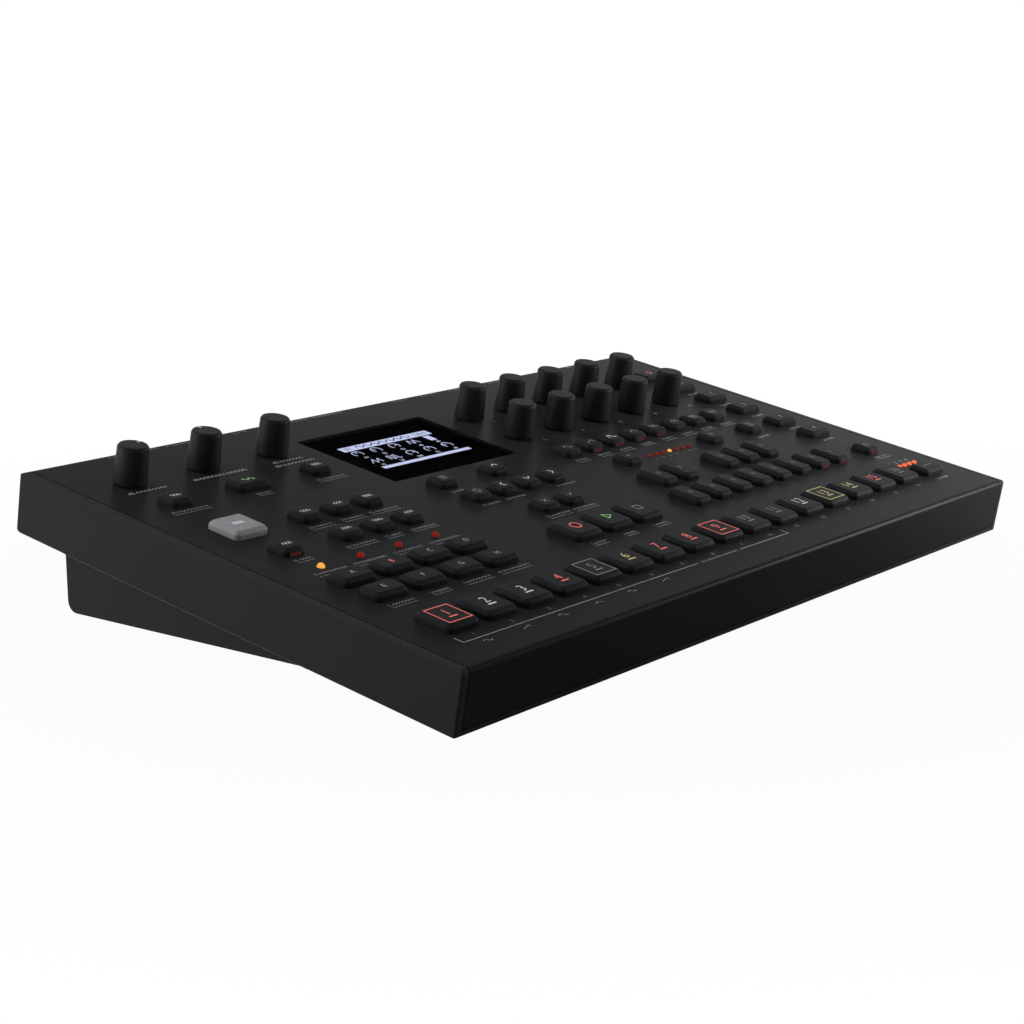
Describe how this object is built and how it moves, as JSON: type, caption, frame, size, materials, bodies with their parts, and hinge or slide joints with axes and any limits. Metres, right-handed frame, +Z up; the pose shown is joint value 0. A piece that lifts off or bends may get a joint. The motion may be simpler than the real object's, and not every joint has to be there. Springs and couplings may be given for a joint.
{
  "type": "analog synthesizer",
  "caption": "Black desktop analog synthesizer: tilted metal slab with sprung backlit keys, tall turning knobs, a display window, signal lamps and rear sockets.",
  "frame": {"origin": "on the desk, below the middle of the overall box", "axes": "+X to the player's right, +Y to the rear, +Z up"},
  "size_m": [0.385, 0.223, 0.077],
  "materials": {
    "cover": "matte powder coat",
    "chassis": "matte powder coat",
    "feet": "matte",
    "window": "polished",
    "display": "matte",
    "panel_pcb": "solder mask",
    "main_pcb": "solder mask",
    "ribbon": "matte",
    "post": "turned",
    "screw": "blackened",
    "switch": "matte",
    "encoder": "stamped",
    "lamp": "clear coloured",
    "jack": "matte",
    "nut": "plated",
    "socket": "matte",
    "usb": "plated",
    "button": "matte",
    "knob": "soft-touch",
    "key": "satin",
    "key_light": "satin"
  },
  "bodies": {
    "case": {"top_cover": "cover", "base_chassis": "chassis", "rubber_feet": "feet", "display_window": "window", "display_module": "display", "panel_board": "panel_pcb", "main_board": "main_pcb", "board_link": "ribbon", "case_posts": "post", "case_screws": "screw", "key_switches": "switch", "encoder_bodies": "encoder", "lamps": "lamp", "audio_jacks": "jack", "jack_nuts": "nut", "midi_sockets": "socket", "usb_socket": "usb", "power_inlet": "socket"},
    "power_button": {"power_button": "button"},
    "knob_volume": {"knob_volume": "knob"},
    "knob_performance": {"knob_performance": "knob"},
    "knob_level": {"knob_level": "knob"},
    "knob_data_1": {"knob_data_1": "knob"},
    "knob_data_2": {"knob_data_2": "knob"},
    "knob_data_3": {"knob_data_3": "knob"},
    "knob_data_4": {"knob_data_4": "knob"},
    "knob_data_5": {"knob_data_5": "knob"},
    "knob_data_6": {"knob_data_6": "knob"},
    "knob_data_7": {"knob_data_7": "knob"},
    "knob_data_8": {"knob_data_8": "knob"},
    "knob_data_9": {"knob_data_9": "knob"},
    "knob_data_10": {"knob_data_10": "knob"},
    "key_step_01": {"key_step_01": "key"},
    "key_step_02": {"key_step_02": "key"},
    "key_step_03": {"key_step_03": "key"},
    "key_step_04": {"key_step_04": "key"},
    "key_step_05": {"key_step_05": "key"},
    "key_step_06": {"key_step_06": "key"},
    "key_step_07": {"key_step_07": "key"},
    "key_step_08": {"key_step_08": "key"},
    "key_step_09": {"key_step_09": "key"},
    "key_step_10": {"key_step_10": "key"},
    "key_step_11": {"key_step_11": "key"},
    "key_step_12": {"key_step_12": "key"},
    "key_step_13": {"key_step_13": "key"},
    "key_step_14": {"key_step_14": "key"},
    "key_step_15": {"key_step_15": "key"},
    "key_step_16": {"key_step_16": "key"},
    "key_record": {"key_record": "key"},
    "key_play": {"key_play": "key"},
    "key_stop": {"key_stop": "key"},
    "key_function": {"key_function": "key_light"},
    "keys_bank": {"keys_bank": "key"},
    "keys_naturals": {"keys_naturals": "key"},
    "keys_sharps": {"keys_sharps": "key"},
    "keys_arrows": {"keys_arrows": "key"},
    "keys_parameters": {"keys_parameters": "key"},
    "keys_tracks": {"keys_tracks": "key"},
    "keys_left": {"keys_left": "key"},
    "keys_right": {"keys_right": "key"}
  },
  "joints": [
    {"name": "power_push", "type": "slide", "parent": "case", "child": "power_button", "axis": [0, -0.9836, -0.1805], "range_m": [0, 0.002], "stiffness_N_per_m": 300, "springref_m": -0.002},
    {"name": "knob_volume_turn", "type": "hinge", "parent": "case", "child": "knob_volume", "pos_m": [-0.1649, 0.07309, 0.06849], "axis": [0, -0.1805, 0.9836], "range_deg": [-60, 240]},
    {"name": "knob_performance_turn", "type": "hinge", "parent": "case", "child": "knob_performance", "pos_m": [-0.12724, 0.07309, 0.06849], "axis": [0, -0.1805, 0.9836], "range_deg": [-150, 150]},
    {"name": "knob_level_turn", "type": "hinge", "parent": "case", "child": "knob_level", "pos_m": [-0.08959, 0.07309, 0.06849], "axis": [0, -0.1805, 0.9836], "continuous": true},
    {"name": "knob_data_1_turn", "type": "hinge", "parent": "case", "child": "knob_data_1", "pos_m": [0.02798, 0.06718, 0.0674], "axis": [0, -0.1805, 0.9836], "continuous": true},
    {"name": "knob_data_2_turn", "type": "hinge", "parent": "case", "child": "knob_data_2", "pos_m": [0.05611, 0.06718, 0.0674], "axis": [0, -0.1805, 0.9836], "continuous": true},
    {"name": "knob_data_3_turn", "type": "hinge", "parent": "case", "child": "knob_data_3", "pos_m": [0.08424, 0.06718, 0.0674], "axis": [0, -0.1805, 0.9836], "continuous": true},
    {"name": "knob_data_4_turn", "type": "hinge", "parent": "case", "child": "knob_data_4", "pos_m": [0.11237, 0.06718, 0.0674], "axis": [0, -0.1805, 0.9836], "continuous": true},
    {"name": "knob_data_5_turn", "type": "hinge", "parent": "case", "child": "knob_data_5", "pos_m": [0.1405, 0.06718, 0.0674], "axis": [0, -0.1805, 0.9836], "continuous": true},
    {"name": "knob_data_6_turn", "type": "hinge", "parent": "case", "child": "knob_data_6", "pos_m": [0.02798, 0.03915, 0.06226], "axis": [0, -0.1805, 0.9836], "continuous": true},
    {"name": "knob_data_7_turn", "type": "hinge", "parent": "case", "child": "knob_data_7", "pos_m": [0.05611, 0.03915, 0.06226], "axis": [0, -0.1805, 0.9836], "continuous": true},
    {"name": "knob_data_8_turn", "type": "hinge", "parent": "case", "child": "knob_data_8", "pos_m": [0.08424, 0.03915, 0.06226], "axis": [0, -0.1805, 0.9836], "continuous": true},
    {"name": "knob_data_9_turn", "type": "hinge", "parent": "case", "child": "knob_data_9", "pos_m": [0.11237, 0.03915, 0.06226], "axis": [0, -0.1805, 0.9836], "continuous": true},
    {"name": "knob_data_10_turn", "type": "hinge", "parent": "case", "child": "knob_data_10", "pos_m": [0.1405, 0.03915, 0.06226], "axis": [0, -0.1805, 0.9836], "continuous": true},
    {"name": "key_step_01_press", "type": "slide", "parent": "case", "child": "key_step_01", "axis": [0, 0.1805, -0.9836], "range_m": [0, 0.001], "stiffness_N_per_m": 300, "springref_m": -0.003},
    {"name": "key_step_02_press", "type": "slide", "parent": "case", "child": "key_step_02", "axis": [0, 0.1805, -0.9836], "range_m": [0, 0.001], "stiffness_N_per_m": 300, "springref_m": -0.003},
    {"name": "key_step_03_press", "type": "slide", "parent": "case", "child": "key_step_03", "axis": [0, 0.1805, -0.9836], "range_m": [0, 0.001], "stiffness_N_per_m": 300, "springref_m": -0.003},
    {"name": "key_step_04_press", "type": "slide", "parent": "case", "child": "key_step_04", "axis": [0, 0.1805, -0.9836], "range_m": [0, 0.001], "stiffness_N_per_m": 300, "springref_m": -0.003},
    {"name": "key_step_05_press", "type": "slide", "parent": "case", "child": "key_step_05", "axis": [0, 0.1805, -0.9836], "range_m": [0, 0.001], "stiffness_N_per_m": 300, "springref_m": -0.003},
    {"name": "key_step_06_press", "type": "slide", "parent": "case", "child": "key_step_06", "axis": [0, 0.1805, -0.9836], "range_m": [0, 0.001], "stiffness_N_per_m": 300, "springref_m": -0.003},
    {"name": "key_step_07_press", "type": "slide", "parent": "case", "child": "key_step_07", "axis": [0, 0.1805, -0.9836], "range_m": [0, 0.001], "stiffness_N_per_m": 300, "springref_m": -0.003},
    {"name": "key_step_08_press", "type": "slide", "parent": "case", "child": "key_step_08", "axis": [0, 0.1805, -0.9836], "range_m": [0, 0.001], "stiffness_N_per_m": 300, "springref_m": -0.003},
    {"name": "key_step_09_press", "type": "slide", "parent": "case", "child": "key_step_09", "axis": [0, 0.1805, -0.9836], "range_m": [0, 0.001], "stiffness_N_per_m": 300, "springref_m": -0.003},
    {"name": "key_step_10_press", "type": "slide", "parent": "case", "child": "key_step_10", "axis": [0, 0.1805, -0.9836], "range_m": [0, 0.001], "stiffness_N_per_m": 300, "springref_m": -0.003},
    {"name": "key_step_11_press", "type": "slide", "parent": "case", "child": "key_step_11", "axis": [0, 0.1805, -0.9836], "range_m": [0, 0.001], "stiffness_N_per_m": 300, "springref_m": -0.003},
    {"name": "key_step_12_press", "type": "slide", "parent": "case", "child": "key_step_12", "axis": [0, 0.1805, -0.9836], "range_m": [0, 0.001], "stiffness_N_per_m": 300, "springref_m": -0.003},
    {"name": "key_step_13_press", "type": "slide", "parent": "case", "child": "key_step_13", "axis": [0, 0.1805, -0.9836], "range_m": [0, 0.001], "stiffness_N_per_m": 300, "springref_m": -0.003},
    {"name": "key_step_14_press", "type": "slide", "parent": "case", "child": "key_step_14", "axis": [0, 0.1805, -0.9836], "range_m": [0, 0.001], "stiffness_N_per_m": 300, "springref_m": -0.003},
    {"name": "key_step_15_press", "type": "slide", "parent": "case", "child": "key_step_15", "axis": [0, 0.1805, -0.9836], "range_m": [0, 0.001], "stiffness_N_per_m": 300, "springref_m": -0.003},
    {"name": "key_step_16_press", "type": "slide", "parent": "case", "child": "key_step_16", "axis": [0, 0.1805, -0.9836], "range_m": [0, 0.001], "stiffness_N_per_m": 300, "springref_m": -0.003},
    {"name": "key_record_press", "type": "slide", "parent": "case", "child": "key_record", "axis": [0, 0.1805, -0.9836], "range_m": [0, 0.001], "stiffness_N_per_m": 300, "springref_m": -0.003},
    {"name": "key_play_press", "type": "slide", "parent": "case", "child": "key_play", "axis": [0, 0.1805, -0.9836], "range_m": [0, 0.001], "stiffness_N_per_m": 300, "springref_m": -0.003},
    {"name": "key_stop_press", "type": "slide", "parent": "case", "child": "key_stop", "axis": [0, 0.1805, -0.9836], "range_m": [0, 0.001], "stiffness_N_per_m": 300, "springref_m": -0.003},
    {"name": "key_function_press", "type": "slide", "parent": "case", "child": "key_function", "axis": [0, 0.1805, -0.9836], "range_m": [0, 0.001], "stiffness_N_per_m": 300, "springref_m": -0.003},
    {"name": "keys_bank_press", "type": "slide", "parent": "case", "child": "keys_bank", "axis": [0, 0.1805, -0.9836], "range_m": [0, 0.001], "stiffness_N_per_m": 600, "springref_m": -0.003},
    {"name": "keys_naturals_press", "type": "slide", "parent": "case", "child": "keys_naturals", "axis": [0, 0.1805, -0.9836], "range_m": [0, 0.001], "stiffness_N_per_m": 600, "springref_m": -0.003},
    {"name": "keys_sharps_press", "type": "slide", "parent": "case", "child": "keys_sharps", "axis": [0, 0.1805, -0.9836], "range_m": [0, 0.001], "stiffness_N_per_m": 600, "springref_m": -0.003},
    {"name": "keys_arrows_press", "type": "slide", "parent": "case", "child": "keys_arrows", "axis": [0, 0.1805, -0.9836], "range_m": [0, 0.001], "stiffness_N_per_m": 600, "springref_m": -0.003},
    {"name": "keys_parameters_press", "type": "slide", "parent": "case", "child": "keys_parameters", "axis": [0, 0.1805, -0.9836], "range_m": [0, 0.001], "stiffness_N_per_m": 600, "springref_m": -0.003},
    {"name": "keys_tracks_press", "type": "slide", "parent": "case", "child": "keys_tracks", "axis": [0, 0.1805, -0.9836], "range_m": [0, 0.001], "stiffness_N_per_m": 600, "springref_m": -0.003},
    {"name": "keys_left_press", "type": "slide", "parent": "case", "child": "keys_left", "axis": [0, 0.1805, -0.9836], "range_m": [0, 0.001], "stiffness_N_per_m": 600, "springref_m": -0.003},
    {"name": "keys_right_press", "type": "slide", "parent": "case", "child": "keys_right", "axis": [0, 0.1805, -0.9836], "range_m": [0, 0.001], "stiffness_N_per_m": 600, "springref_m": -0.003}
  ]
}
